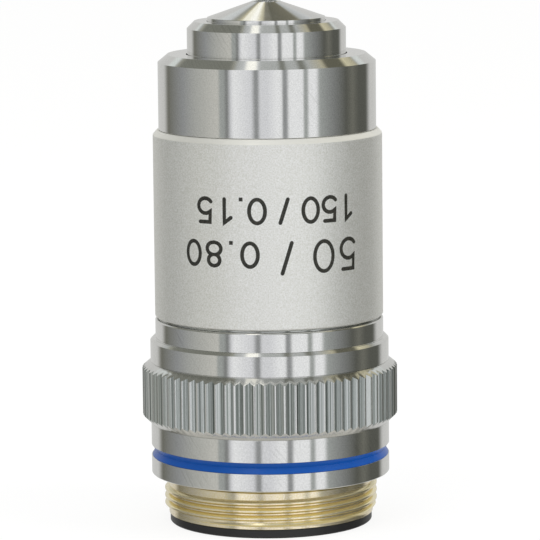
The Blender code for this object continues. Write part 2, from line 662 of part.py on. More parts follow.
bare_brass = finish("bare_brass", (0.80, 0.68, 0.38), 1.0, 0.30)
polished_chrome = finish("polished_chrome", (0.72, 0.72, 0.71), 1.0, 0.18)
satin_chrome = finish("satin_chrome", (0.66, 0.65, 0.62), 1.0, 0.48)
black_anodised = finish("black_anodised", (0.02, 0.02, 0.022), 0.0, 0.45)
blue_enamel = finish("blue_enamel", (0.01, 0.08, 0.40), 0.0, 0.25)
spring_steel = finish("spring_steel", (0.45, 0.45, 0.46), 1.0, 0.35)
optical_glass = finish("optical_glass", (0.90, 0.93, 0.95), 0.0, 0.02, transmission=1.0)

carry("fixed_barrel", [
    make_rear_ring(), make_thread_mount(), make_main_barrel(), make_colour_ring(), make_sleeve(),
    make_front_cap(), make_return_spring(), make_guide_screw(),
])
carry("sliding_nose", [make_lens_barrel(), make_nose_cone(), make_front_lens(), *make_lens_stack()])
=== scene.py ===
"""Looks of a microscope objective: turned chrome, a knurled grip, a brass mount, printed numbers.

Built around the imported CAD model, in metres. +Z points from the rear end to the front lens,
and the printed side faces -Y, which is where the camera stands.
"""

import json
import math

import bmesh
import bpy
from mathutils import Matrix, Vector


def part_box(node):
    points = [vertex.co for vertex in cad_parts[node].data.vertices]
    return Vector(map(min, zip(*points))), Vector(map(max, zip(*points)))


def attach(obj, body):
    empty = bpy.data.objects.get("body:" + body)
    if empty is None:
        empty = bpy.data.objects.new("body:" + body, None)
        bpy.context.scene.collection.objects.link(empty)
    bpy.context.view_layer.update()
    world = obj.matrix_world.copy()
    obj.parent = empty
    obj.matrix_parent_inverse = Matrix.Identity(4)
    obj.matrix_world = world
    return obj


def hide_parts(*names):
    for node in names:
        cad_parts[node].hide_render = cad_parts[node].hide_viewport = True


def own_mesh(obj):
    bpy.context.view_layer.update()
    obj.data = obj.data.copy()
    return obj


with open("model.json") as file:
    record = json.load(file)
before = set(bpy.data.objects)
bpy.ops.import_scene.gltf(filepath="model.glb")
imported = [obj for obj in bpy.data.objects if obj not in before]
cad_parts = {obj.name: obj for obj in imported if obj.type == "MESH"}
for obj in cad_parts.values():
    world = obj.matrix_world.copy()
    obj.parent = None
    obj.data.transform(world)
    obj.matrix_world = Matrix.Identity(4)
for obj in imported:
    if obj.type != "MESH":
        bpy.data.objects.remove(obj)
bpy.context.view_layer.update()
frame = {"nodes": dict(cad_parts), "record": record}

MM = 0.001
SAME_POINT = 0.002 * MM
WELD = SAME_POINT / 4
FIXED, SLIDING = "fixed_barrel", "sliding_nose"

# Turned pieces
TURNED_SIDES = 320
EDGE_BREAK = 0.05 * MM
SHARP_EDGE = 0.02 * MM
ENAMEL_RUN = 0.035 * MM
BESIDE_RING = 0.10 * MM
EDGE_STEP = math.radians(12)
STRAIGHT_BELOW = math.radians(0.5)
LONGEST_SHARE = 0.45

# Knurled grip
TEETH = 80
GROOVE_WIDTH = 0.83 * MM
GROOVE_DEPTH = 0.31 * MM
GRIP_WALL = 0.33 * MM
TOOTH_EDGE = 0.025 * MM
RUBBED_DEPTH = 0.03 * MM
TOOL_WANDER = 0.06 * MM
WANDER_SIZE = 0.55 * MM
STREAK_SIZE = 0.16 * MM
SMOOTH_BELOW = math.radians(40)

# Screw thread, right-handed
PITCH = 0.7056 * MM
THREAD_DEPTH = 0.42 * MM
THREAD_CREST = 0.15 * MM
THREAD_ROOT = 0.70 * MM
THREAD_SINK = 0.04 * MM
CREST_ROUNDING = 0.07 * MM
THREAD_TURNS = 3.76
THREAD_END_ANGLE = math.radians(100)
THREAD_END_DROP = 0.98 * MM
FADE_TURNS = 0.22
FADE_LEAST = 0.04
THREAD_STEPS = 144

# A noise lies almost everywhere between these, so it strays this far from its middle
NOISE_LOW, NOISE_HIGH = 0.3, 0.7
NOISE_REACH = 0.2

# Painted shade along the seams under the sleeve and under the shoulder: how far it reaches from
# each, the share of that where it is darkest, how far under the sleeve it lies, and how deep the
# seams are
SHOULDER_SHADE_REACH = 0.50 * MM
SLEEVE_SHADE_REACH = 0.11 * MM
SEAM_CORE = 0.8
SLEEVE_SHADE_DROP = 0.9 * SLEEVE_SHADE_REACH
SEAM_DEPTH = 1.0 * MM

# Turned metal: its specks, the clouds in which its gloss strays by a share, and the turn by which
# its anisotropy runs across the rings
DUST_SIZE = 0.11 * MM
CLOUD_SIZE = 1.5 * MM
CLOUD_SHARE = 0.15
ACROSS_THE_RINGS = 0.25

# Beads leave pits of about 0.05 mm, drawn larger so that they show. Ink wears in patches
BEAD_SIZE = 0.13 * MM
INK_PATCH = 0.12 * MM

# Painted reflections: faint slanted dark streaks in patches on the plating
MARK_LEAN = math.radians(-52)
MARK_LENGTH = 3.0 * MM
MARK_SPACING = 0.22 * MM
MARK_PATCH = 5.0 * MM
MARK_STRENGTH = 0.20
PATCHES_FROM, HAIRLINES_FROM, MARKS_TO = 0.54, 0.50, 0.68

# The plain finishes: name, colour, roughness, size and depth of the grain, and other sockets
PLAIN_FINISHES = [
    # Black anodised aluminium: near black with a soft sheen
    ("black_anodised", "#1f1f20", 0.42, 0.08 * MM, 0.002 * MM, {}),
    # Stoving enamel run into the colour groove: deep even blue, gently glossy
    ("blue_enamel", "#0650a6", 0.28, 0.9 * MM, 0.004 * MM, {"Specular IOR Level": 0.35}),
    # Drawn spring wire, blued by tempering: grey with a cool shine
    ("spring_steel", "#8f9096", 0.30, 0.06 * MM, 0.002 * MM, {"Metallic": 1.0}),
    # Polished crown glass: clear, with a faint violet bloom of its coating
    ("optical_glass", "#f4f2fa", 0.02, 0.5 * MM, 0.00002 * MM, {
        "IOR": 1.52, "Transmission Weight": 1.0,
    }),
]

# Return spring, right-handed, with closed end turns
WIRE = 0.70 * MM
COIL_TURNS = 6.5
CLOSED_TURNS = 1.0
CLOSED_PITCH = 0.76 * MM
COIL_STEPS = 60
WIRE_SIDES = 16

# Printed numbers, whose digits stand on their heads as on an objective in its turret
INK_RISE = 0.006 * MM
INK_SINK = 0.004 * MM
WRAP_STEP = 0.25 * MM
PEN = 0.36 * MM
MITRE_LIMIT = 0.5  # least cosine at a stroke's bend
CURVE_STEPS = 36

# Forms of the signs, as shares of their height. An oval has half its width, half its height and its
# middle's height. The 5's bowl has its radius across, its middle's height and its turns in degrees
ZERO = (0.36, 0.5, 0.5)
EIGHT_FOOT = (0.35, 0.30, 0.30)
EIGHT_HEAD = (0.30, 0.245, 0.755)
POINT_WIDTH = 0.14
SLASH_LEAN = 0.14
ONE_FLAG, ONE_STEM = (-0.20, 0.74), 0.05
FIVE_TIP, FIVE_BACK = 0.23, -0.19
FIVE_BOWL = (0.29, 0.345, range(135, -146, -20))

# Name, base line over the sleeve's foot in mm, and each sign with its angle in degrees and its
# height in mm
NUMBERS = [
    ("print_upper", 12.40, [
        ("1", 42.4, 2.55), ("5", 31.9, 2.55), ("0", 21.3, 2.55), ("/", 7.8, 2.55),
        ("0", -5.4, 2.55), (".", -13.4, 2.55), ("1", -21.2, 2.55), ("5", -32.3, 2.55),
    ]),
    ("print_lower", 8.36, [
        ("5", 43.2, 3.15), ("0", 28.3, 3.15), ("/", 9.1, 3.20),
        ("0", -9.1, 2.55), (".", -18.6, 2.55), ("8", -27.7, 2.55), ("0", -39.6, 2.55),
    ]),
]

# The turned pieces that take their outline as it is: node, body, slot, and the rounding of their
# lower and upper edges
TURNED_NODES = [
    ("rear_ring", FIXED, "black_anodised", 0.08 * MM, 0.08 * MM),
    ("sleeve", FIXED, "satin_chrome", 0.06 * MM, 0.22 * MM),
    ("front_cap", FIXED, "polished_chrome", EDGE_BREAK, EDGE_BREAK),
    ("lens_barrel", SLIDING, "polished_chrome", EDGE_BREAK, EDGE_BREAK),
    ("nose_cone", SLIDING, "polished_chrome", EDGE_BREAK, EDGE_BREAK),
    ("front_lens", SLIDING, "optical_glass", SHARP_EDGE, SHARP_EDGE),
]

# The light tent: white and pale softbox cloth, and for the rest the greys and warm darks of a room
TONES = {
    "white": "#f9fafc", "pale": "#e5e6ea", "bright": "#cfcec8", "cream": "#c4c2b6",
    "card": "#b4b5b1", "light": "#a8acaa", "sand": "#a09b84", "mid": "#999b9c",
    "grey": "#888a89", "olive": "#8a8674", "dusk": "#75756d", "dark": "#5d5e58",
    "brown": "#5a584d", "black": "#4b4a40",
}

# Walls go by degrees round from the camera's side, rightwards: softboxes with gaps between them
WALL_BANDS = [
    (-128, "dusk"), (-100, "mid"), (-80, "card"), (-52.5, "bright"), (-51, "light"), (-46, "light"),
    (-43.7, "grey"), (-42.1, "grey"), (-38.3, "pale"), (-35, "white"), (-16.4, "pale"),
    (-12.6, "mid"), (-9.7, "mid"), (-7.6, "pale"), (0, "pale"), (10, "white"), (15.3, "white"),
    (16.8, "mid"), (20.6, "mid"), (22.8, "white"), (38, "white"), (39.5, "light"), (43, "light"),
    (44.5, "white"), (53, "white"), (57, "light"), (74, "grey"), (92, "dark"), (102, "dusk"),
    (113, "dark"),
]
WALL_BACK, BACK_FROM, BACK_TO = "#d2d2d0", 0.60, 0.78

# The ceiling goes by the degrees round the object at which a bevel mirrors it to the front.
# Its strips are lamps: each shines at CEILING_GAIN times its tone
CEILING_GAIN = 2.0
NEAR_STRIPS = [
    (-66, "mid"), (-60.5, "grey"), (-57, "dusk"), (-53.5, "dark"), (-20.5, "dark"), (-18.5, "dusk"),
    (-16.5, "grey"), (-12.5, "mid"), (-10.5, "bright"), (-6, "bright"), (-4.8, "mid"), (-3, "grey"),
    (6, "grey"), (7.8, "dark"), (9.6, "dark"), (11, "grey"), (16.5, "grey"), (18.6, "dark"),
    (20.4, "dark"), (23.5, "grey"), (32.5, "olive"), (34.8, "black"), (46, "black"), (49, "sand"),
    (56, "olive"), (59, "dusk"), (66, "mid"),
]
FAR_STRIPS = [
    (-66, "light"), (-42, "mid"), (-36, "dusk"), (-33.5, "dusk"), (-29, "olive"), (-27, "sand"),
    (-25.3, "cream"), (-20, "cream"), (-15.5, "bright"), (-12, "bright"), (-6.5, "sand"),
    (-3.5, "olive"), (-1.5, "brown"), (4, "brown"), (7, "black"), (32, "brown"), (35.5, "brown"),
    (38, "dusk"), (41, "grey"), (54, "mid"), (66, "light"),
]

# Where the walls turn to ceiling, table and back, by the direction's height or depth. SIGHT is how
# far back the place lies from which the ceiling's degrees are told
SIGHT = 0.985
CEILING_FROM, CEILING_TO = 0.40, 0.48
FAR_FROM, FAR_TO = 0.69, 0.735
TABLE, TABLE_FROM, TABLE_TO = "#cfcdc6", 0.55, 0.80
ROOM_LIGHT = "#e0e0e0"
WHITE = "#ffffff"

# Floor: its reach and paint, the share of white glow that the eye gets, and the glow's strength
FLOOR_REACH = 2.5
FLOOR_PAINT = "#f4f4f2"
FLOOR_GLOW = 0.80
FLOOR_SHINE = 1.06

# Lamps
LAMP_SIZE = 0.40
LAMP_AIM = Vector((0, 0, 0.02))
SIDE_PLACE, SIDE_POWER = (0.50, -0.20, 0.25), 1.2
TOP_PLACE, TOP_POWER = (-0.25, -0.35, 0.60), 0.9

# Camera, fitted to the photograph
CAMERA_PLACE = Vector((0.12, -351.68, 73.17)) * MM
CAMERA_PITCH = math.radians(82.025)
CAMERA_ROLL = math.radians(-0.578)
CAMERA_LENS = 250.08
CAMERA_SENSOR = 36.0
CAMERA_NEAREST = 0.01


# Materials


def linear(code):
    """A colour's linear values from its sRGB hex code."""
    values = [int(code[place : place + 2], 16) / 255 for place in (1, 3, 5)]
    return (*(v / 12.92 if v <= 0.04045 else ((v + 0.055) / 1.055) ** 2.4 for v in values), 1.0)


def wire(node, inputs):
    """Gives sockets, by name or number, a value, another node's output or its first output."""
    for key, value in inputs.items():
        if isinstance(value, bpy.types.Node):
            value = value.outputs[0]
        if isinstance(value, bpy.types.NodeSocket):
            node.id_data.links.new(value, node.inputs[key])
        else:
            node.inputs[key].default_value = value


def add(tree, kind, inputs=None, stops=(), **settings):
    """A new node with its settings, its sockets and, where it is a colour ramp, its stops."""
    made = tree.nodes.new(kind)
    for setting, value in settings.items():
        setattr(made, setting, value)
    while stops and len(made.color_ramp.elements) < len(stops):
        made.color_ramp.elements.new(1.0)
    for place, (position, code) in enumerate(stops):
        made.color_ramp.elements[place].position = position
        made.color_ramp.elements[place].color = linear(code)
    wire(made, inputs or {})
    return made


def new_finish(name, colour, roughness, sockets):
    """A material, its tree and its shader, with the shader's own sockets set."""
    material = bpy.data.materials.new(name)
    material.use_nodes = True
    shader = material.node_tree.nodes["Principled BSDF"]
    wire(shader, {"Base Color": linear(colour), "Roughness": roughness, **sockets})
    return material, material.node_tree, shader


def lean(tree):
    """The z of the surface's normal: 1 where it faces up, -1 where it faces down."""
    facing = add(tree, "ShaderNodeTexCoord").outputs["Normal"]
    return add(tree, "ShaderNodeSeparateXYZ", {0: facing}).outputs["Z"]


def off_axis(tree, place):
    """Distance of the place from the axis."""
    flat = add(tree, "ShaderNodeVectorMath", {0: place, 1: (1, 1, 0)}, operation="MULTIPLY")
    return add(tree, "ShaderNodeVectorMath", {0: flat}, operation="LENGTH").outputs["Value"]


def grain(tree, size, detail=2.0):
    """An even grain of one size in every direction, from 0 to 1."""
    place = add(tree, "ShaderNodeTexCoord").outputs["Object"]
    return add(tree, "ShaderNodeTexNoise", {"Vector": place, "Scale": 1 / size, "Detail": detail})


def turning_marks(tree, spacing):
    """Fine rings around the axis, as a lathe tool leaves them, from 0 to 1."""
    place = add(tree, "ShaderNodeTexCoord").outputs["Object"]
    height = add(tree, "ShaderNodeSeparateXYZ", {0: place}).outputs["Z"]
    path = add(tree, "ShaderNodeCombineXYZ", {0: off_axis(tree, place), 1: height})
    return add(tree, "ShaderNodeTexNoise", {
        "Vector": path, "Scale": 1 / spacing, "Detail": 3.0, "Roughness": 0.6,
    })


def streak_reflections(tree):
    """Faint slanted hairlines in patches, painted as reflections on the plating, up to
    MARK_STRENGTH.
    """
    place = add(tree, "ShaderNodeTexCoord").outputs["Object"]
    x, y, z = add(tree, "ShaderNodeSeparateXYZ", {0: place}).outputs
    back = add(tree, "ShaderNodeMath", {0: y, 1: -1.0}, operation="MULTIPLY")
    turn = add(tree, "ShaderNodeMath", {0: x, 1: back}, operation="ARCTAN2")
    radius = off_axis(tree, place)
    around = add(tree, "ShaderNodeMath", {0: turn, 1: radius}, operation="MULTIPLY")
    sheet = add(tree, "ShaderNodeCombineXYZ", {0: around, 1: z})
    along, across = (
        add(tree, "ShaderNodeVectorMath", {
            0: sheet, 1: (math.cos(slant) / size, math.sin(slant) / size, 0),
        }, operation="DOT_PRODUCT").outputs["Value"]
        for slant, size in ((MARK_LEAN, MARK_LENGTH), (MARK_LEAN + math.pi / 2, MARK_SPACING))
    )
    path = add(tree, "ShaderNodeCombineXYZ", {0: along, 1: across})
    noise = add(tree, "ShaderNodeTexNoise", {"Vector": path, "Scale": 1.0, "Detail": 2.0})
    patches = add(tree, "ShaderNodeMapRange", {
        "Value": grain(tree, MARK_PATCH), "From Min": PATCHES_FROM, "From Max": MARKS_TO,
    })
    lines = add(tree, "ShaderNodeMapRange", {
        "Value": noise, "From Min": HAIRLINES_FROM, "From Max": MARKS_TO,
    })
    marks = add(tree, "ShaderNodeMath", {0: lines, 1: patches}, operation="MULTIPLY")
    return add(tree, "ShaderNodeMapRange", {"Value": marks, "To Max": MARK_STRENGTH})


def seam(tree, height, reach, outside):
    """Painted shade round a seam: 1 at that height, 0 beyond the reach and inside that radius."""
    place = add(tree, "ShaderNodeTexCoord").outputs["Object"]
    level = add(tree, "ShaderNodeSeparateXYZ", {0: place}).outputs["Z"]
    above = add(tree, "ShaderNodeMath", {0: level, 1: height}, operation="SUBTRACT")
    apart = add(tree, "ShaderNodeMath", {0: above}, operation="ABSOLUTE")
    near = add(tree, "ShaderNodeMapRange", {
        "Value": apart, "From Min": SEAM_CORE * reach, "From Max": reach,
        "To Min": 1.0, "To Max": 0.0,
    })
    radius = off_axis(tree, place)
    outer = add(tree, "ShaderNodeMath", {0: radius, 1: outside}, operation="GREATER_THAN")
    return add(tree, "ShaderNodeMath", {0: near, 1: outer}, operation="MULTIPLY")


def turned_metal(name, colour, dull, roughness, marks, depth, specked, sockets):
    """A metal off the lathe. Its rings blur what it mirrors along the axis and hardly around it.

    dull is its colour in the tiny specks. Gives the material, its tree, its shader and its tones.
    """
    material, tree, shader = new_finish(name, colour, roughness, sockets)
    dust = grain(tree, DUST_SIZE)
    relief = add(tree, "ShaderNodeMath", {
        0: dust, 1: specked, 2: turning_marks(tree, marks),
    }, operation="MULTIPLY_ADD")
    cloud = add(tree, "ShaderNodeMapRange", {
        "Value": grain(tree, CLOUD_SIZE, 4.0), "From Min": NOISE_LOW, "From Max": NOISE_HIGH,
        "To Min": (1 - CLOUD_SHARE) * roughness, "To Max": (1 + CLOUD_SHARE) * roughness,
    })
    wire(shader, {
        "Roughness": cloud,
        "Anisotropic Rotation": ACROSS_THE_RINGS,
        "Tangent": add(tree, "ShaderNodeTangent", direction_type="RADIAL", axis="Z"),
        "Normal": add(tree, "ShaderNodeBump", {"Height": relief, "Distance": depth}),
    })
    tones = add(tree, "ShaderNodeValToRGB", {"Fac": dust}, [(0.35, dull), (0.65, colour)])
    return material, tree, shader, tones


def polished_chrome():
    """Nickel-chrome plating over turned brass: a clear mirror around, softened along the axis.

    Faint slanted streaks are painted on it in patches as reflections, and painted shade greys
    the narrow gap under the sleeve.
    """
    material, tree, shader, tones = turned_metal(
        "polished_chrome", "#e8e8e6", "#dbdbd9", 0.09, 0.10 * MM, 0.0006 * MM, 0.5,
        {"Metallic": 1.0, "Anisotropic": 0.5},
    )
    # Painted reflection: faint slanted dark streaks in patches.
    streak_toned = add(tree, "ShaderNodeMix", {
        0: streak_reflections(tree), 6: tones, 7: linear("#8c8c88"),
    }, data_type="RGBA").outputs[2]
    low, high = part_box("sleeve")
    # Painted shade: the narrow gap under the sleeve's foot is greyed, where its shadow falls.
    under_sleeve_shade = seam(tree, low.z - SLEEVE_SHADE_DROP, SLEEVE_SHADE_REACH, high.x - SEAM_DEPTH)
    shaded_below_sleeve = add(tree, "ShaderNodeMix", {
        0: under_sleeve_shade, 6: streak_toned, 7: linear("#b4b6b2"),
    }, data_type="RGBA").outputs[2]
    wire(shader, {"Base Color": shaded_below_sleeve})
    return material


def knurled_chrome():
    """The same plating on the grip: grainy grooves and crests that hands have rubbed bright.

    The wheel left the grooves streaked, light and dark side by side.
    """
    material, tree, shader = new_finish("knurled_chrome", "#aeb4b0", 0.34, {"Metallic": 1.0})
    place = add(tree, "ShaderNodeTexCoord").outputs["Object"]
    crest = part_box("main_barrel")[1].x
    on_crest = add(tree, "ShaderNodeMapRange", {
        "Value": off_axis(tree, place), "From Min": crest - RUBBED_DEPTH, "From Max": crest,
    })
    tilt = add(tree, "ShaderNodeMath", {0: lean(tree)}, operation="ABSOLUTE")
    on_bevel = add(tree, "ShaderNodeMapRange", {"Value": tilt, "From Min": 0.3, "From Max": 0.5})
    bright = add(tree, "ShaderNodeMath", {0: on_crest, 1: on_bevel}, operation="MAXIMUM")
    flat = add(tree, "ShaderNodeVectorMath", {0: place, 1: (1, 1, 0)}, operation="MULTIPLY")
    streaks = add(tree, "ShaderNodeTexNoise", {
        "Vector": flat, "Scale": 1 / STREAK_SIZE, "Detail": 2.0,
    })
    flanks = add(tree, "ShaderNodeValToRGB", {"Fac": streaks}, [
        (0.34, "#747a76"), (0.44, "#a2a8a4"), (0.54, "#bcc1be"), (0.64, "#e2e5e3"),
    ])
    tones = add(tree, "ShaderNodeMix", {
        0: bright, 6: flanks, 7: linear("#dcdcda"),
    }, data_type="RGBA").outputs[2]
    rough = add(tree, "ShaderNodeMapRange", {"Value": bright, "To Min": 1.08, "To Max": 0.08})
    pits = add(tree, "ShaderNodeMath", {
        0: grain(tree, BEAD_SIZE, 3.0), 1: rough,
    }, operation="MULTIPLY")
    wire(shader, {
        "Base Color": tones,
        "Roughness": add(tree, "ShaderNodeMapRange", {
            "Value": bright, "To Min": 0.34, "To Max": 0.14,
        }),
        "Normal": add(tree, "ShaderNodeBump", {"Height": pits, "Distance": 0.016 * MM}),
    })
    return material


def satin_chrome():
    """Chrome over fine bead blasting: pale and even, with a grain that just shows; painted light
    makes it paler and less metallic where it faces up.
    """
    material, tree, shader = new_finish("satin_chrome", "#efefea", 0.44, {"Metallic": 0.8})
    pits = grain(tree, BEAD_SIZE, 3.0)
    even = add(tree, "ShaderNodeValToRGB", {"Fac": pits}, [(0.32, "#e4e4dd"), (0.68, "#fdfdfb")])
    facing = lean(tree)
    # Painted light: surfaces facing up are paler and less metallic, as if lit from above.
    painted_top_light = add(tree, "ShaderNodeMapRange", {"Value": facing, "From Min": 0.15, "From Max": 0.5})
    wire(shader, {
        "Base Color": add(tree, "ShaderNodeMix", {
            0: painted_top_light, 6: even, 7: linear("#fffef8"),
        }, data_type="RGBA").outputs[2],
        "Metallic": add(tree, "ShaderNodeMapRange", {
            "Value": facing, "From Min": 0.15, "From Max": 0.6, "To Min": 0.8, "To Max": 0.6,
        }),
        "Roughness": add(tree, "ShaderNodeMapRange", {
            "Value": pits, "From Min": NOISE_LOW, "From Max": NOISE_HIGH,
            "To Min": 0.42, "To Max": 0.54,
        }),
        "Normal": add(tree, "ShaderNodeBump", {"Height": pits, "Distance": 0.012 * MM}),
    })
    return material


def bare_brass():
    """Free-cutting brass, bare and lightly oiled: pale and warm. Painted light and shade tint the
    thread's flanks: golden where they face down, pale where they face up.

    Painted shade draws a dark line where it meets the shoulder, under the shoulder's overhang.
    """
    material, tree, shader, tones = turned_metal(
        "bare_brass", "#fdf2dc", "#f4e5bc", 0.18, 0.07 * MM, 0.0010 * MM, 0.8,
        {"Metallic": 0.97, "Anisotropic": 0.3},
    )
    facing = lean(tree)
    tilt = add(tree, "ShaderNodeMath", {0: facing}, operation="ABSOLUTE")
    on_flank = add(tree, "ShaderNodeMapRange", {"Value": tilt, "From Min": 0.25, "From Max": 0.75})
    # Painted light and shade: flanks facing down are golden and darker, flanks facing up paler.
    flank_light_share = add(tree, "ShaderNodeMapRange", {"Value": facing, "From Min": -1.0})
    flanks = add(tree, "ShaderNodeValToRGB", {"Fac": flank_light_share}, [
        (0.40, "#e0cc7e"), (0.60, "#fff4ca"),
    ])
    without_shoulder_shade = add(tree, "ShaderNodeMix", {
        0: on_flank, 6: tones, 7: flanks,
    }, data_type="RGBA").outputs[2]
    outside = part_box("thread_mount")[1].x - SEAM_DEPTH
    # Painted shade: a dark golden line just under the barrel's shoulder.
    wire(shader, {
        "Base Color": add(tree, "ShaderNodeMix", {
            0: seam(tree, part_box("main_barrel")[0].z, SHOULDER_SHADE_REACH, outside),
            6: without_shoulder_shade, 7: linear("#9c8540"),
        }, data_type="RGBA").outputs[2],
        "Metallic": add(tree, "ShaderNodeMapRange", {
            "Value": tilt, "From Min": 0.25, "From Max": 0.75, "To Min": 0.97, "To Max": 0.80,
        }),
    })
    return material


def black_ink():
    """Black etching ink: flat, with slightly worn patches."""
    material, tree, shader = new_finish("black_ink", "#1f1f19", 0.55, {})
    wire(shader, {"Base Color": add(tree, "ShaderNodeValToRGB", {
        "Fac": grain(tree, INK_PATCH, 3.0),
    }, [(0.35, "#3a3930"), (0.55, "#1a1a14")])})
    return material


def plain_finish(name, colour, roughness, size, depth, sockets):
    """One colour over a fine grain of the given size and depth."""
    material, tree, shader = new_finish(name, colour, roughness, sockets)
    wire(shader, {
        "Normal": add(tree, "ShaderNodeBump", {"Height": grain(tree, size), "Distance": depth}),
    })
    return material


finishes = {
    "polished_chrome": polished_chrome(), "knurled_chrome": knurled_chrome(),
    "satin_chrome": satin_chrome(), "bare_brass": bare_brass(), "black_ink": black_ink(),
    **{row[0]: plain_finish(*row) for row in PLAIN_FINISHES},
}


# Turned pieces


def outline_of(node):
    """A turned node's outline in the half plane y = 0, x > 0, anticlockwise: radius, height."""
    form = bmesh.new()
    form.from_mesh(frame["nodes"][node].data)
    bmesh.ops.remove_doubles(form, verts=form.verts, dist=SAME_POINT)
    flat = [v for v in form.verts if abs(v.co.y) < SAME_POINT and v.co.x > -SAME_POINT]
    near = {v: [e.other_vert(v) for e in v.link_edges if e.other_vert(v) in flat] for v in flat}
    path = [min(flat, key=lambda v: (len(near[v]), v.co.z, v.co.x))]
    while True:
        ahead = [v for v in near[path[-1]] if v not in path]
        if not ahead:
            break
        path.append(ahead[0])
    points = [Vector((v.co.x, v.co.z)) for v in path]
    form.free()
    area = sum(a.x * b.y - b.x * a.y for a, b in zip(points, points[1:] + points[:1]))
    return points if area > 0 else points[:1] + points[:0:-1]


def eased(points, radius, closed=True):
    """Rows of (point, outward normal) along a line to whose right is outside, its corners rounded.

    A corner takes the radius where its two sides have room for it. radius is one value, or one for
    each point.
    """
    count = len(points)
    radii = [radius] * count if isinstance(radius, float) else radius
    rows = []
    for index, corner in enumerate(points):
        before = corner - points[index - 1]
        after = points[(index + 1) % count] - corner
        if not closed and index == 0:
            before = after
        if not closed and index == count - 1:
            after = before
        turn = math.atan2(before.x * after.y - before.y * after.x, before.dot(after))
        normal = Vector((before.y, -before.x)).normalized()
        if abs(turn) < STRAIGHT_BELOW:
            rows.append((corner, normal))
            continue
        reach = radii[index] * math.tan(abs(turn) / 2)
        reach = min(reach, LONGEST_SHARE * before.length, LONGEST_SHARE * after.length)
        bend = math.copysign(reach / math.tan(abs(turn) / 2), turn)
        centre = corner - before.normalized() * reach - normal * bend
        steps = max(2, math.ceil(abs(turn) / EDGE_STEP))
        for step in range(steps + 1):
            facing = Matrix.Rotation(turn * step / steps, 2) @ normal
            rows.append((centre + facing * bend, facing))
    return rows


def mesh_piece(name, points, faces, material, normals=None):
    """A smooth piece of the points and faces, with the points' normals where they are given."""
    mesh = bpy.data.meshes.new(name)
    mesh.from_pydata(points, [], faces)
    mesh.polygons.foreach_set("use_smooth", [True] * len(mesh.polygons))
    mesh.materials.append(material)
    if normals is not None:
        mesh.normals_split_custom_set_from_vertices(normals)
    piece = bpy.data.objects.new(name, mesh)
    bpy.context.scene.collection.objects.link(piece)
    return piece


def turned(name, rows, material):
    """Turns rows of (point, normal) about the axis. A row on the axis becomes one point."""
    points, normals, rings, sides = [], [], [], TURNED_SIDES
    for point, facing in rows:
        on_axis = point.x < SAME_POINT
        first = len(points)
        for side in range(1 if on_axis else sides):
            angle = math.tau * side / sides
            across = Vector((math.cos(angle), math.sin(angle), 0))
            points.append(across * (0 if on_axis else point.x) + Vector((0, 0, point.y)))
            normals.append(across * (0 if on_axis else facing.x) + Vector((0, 0, facing.y)))
        rings.append([first + (0 if on_axis else side) for side in range(sides)])
    faces = []
    for low, high in zip(rings, rings[1:] + rings[:1]):
        if low[0] == low[1] and high[0] == high[1]:
            continue
        for side in range(sides):
            ahead = (side + 1) % sides
            corners = [low[side], low[ahead], high[ahead], high[side]]
            faces.append([c for place, c in enumerate(corners) if c not in corners[:place]])
    return mesh_piece(name, points, faces, material, [n.normalized() for n in normals])


def dress(piece, body, slot, *nodes):
    """Lets the piece ride on its body and hides its nodes. The slot is not used."""
    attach(piece, body)
    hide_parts(*nodes)


def split_barrel():
    """The barrel's outline with a recess for the grip, and the grip's own points in the outline.

    The CAD outline is cut through a groove, so those are the groove's floor, its foot and its top.
    """
    outline = outline_of("main_barrel")
    floor = max(p.x for p in outline)
    toothed = [i for i, p in enumerate(outline) if p.x > floor - SAME_POINT]
    grip = outline[toothed[0] - 1 : toothed[-1] + 2]
    foot, top = grip[0], grip[-1]
    recess = [Vector((foot.x - GRIP_WALL, foot.y)), Vector((top.x - GRIP_WALL, top.y))]
    return outline[: toothed[0]] + recess + outline[toothed[-1] + 1 :], grip


# What repeats or follows a path


def grown(name, build, values, mesh):
    """The plain mesh that a Geometry Nodes tree makes of the mesh, smooth but for its sharp edges.

    The tree has an input for each value, where None stands for the mesh, and build fills it.
    """
    tree = bpy.data.node_groups.new(name, "GeometryNodeTree")
    kinds = {int: "Int", float: "Float", bpy.types.Material: "Material", type(None): "Geometry"}
    for label, value in values.items():
        kind = "NodeSocket" + kinds[type(value)]
        tree.interface.new_socket(label, in_out="INPUT", socket_type=kind)
    tree.interface.new_socket("Geometry", in_out="OUTPUT", socket_type="NodeSocketGeometry")
    given = add(tree, "NodeGroupInput").outputs
    real = add(tree, "GeometryNodeRealizeInstances", {0: build(tree, given)})
    painted = add(tree, "GeometryNodeSetMaterial", {"Geometry": real, "Material": given["Finish"]})
    add(tree, "NodeGroupOutput", {0: painted})

    carrier = bpy.data.objects.new(name, mesh)
    bpy.context.scene.collection.objects.link(carrier)
    modifier = carrier.modifiers.new(name, "NODES")
    modifier.node_group = tree
    for item in tree.interface.items_tree:
        if item.in_out == "INPUT" and values[item.name] is not None:
            modifier[item.identifier] = values[item.name]
    evaluated = carrier.evaluated_get(bpy.context.evaluated_depsgraph_get())
    made = bpy.data.meshes.new_from_object(evaluated)
    carrier.modifiers.remove(modifier)
    made.name = name
    made.polygons.foreach_set("use_smooth", [True] * len(made.polygons))
    made.set_sharp_from_angle(angle=SMOOTH_BELOW)
    carrier.data = made
    return carrier


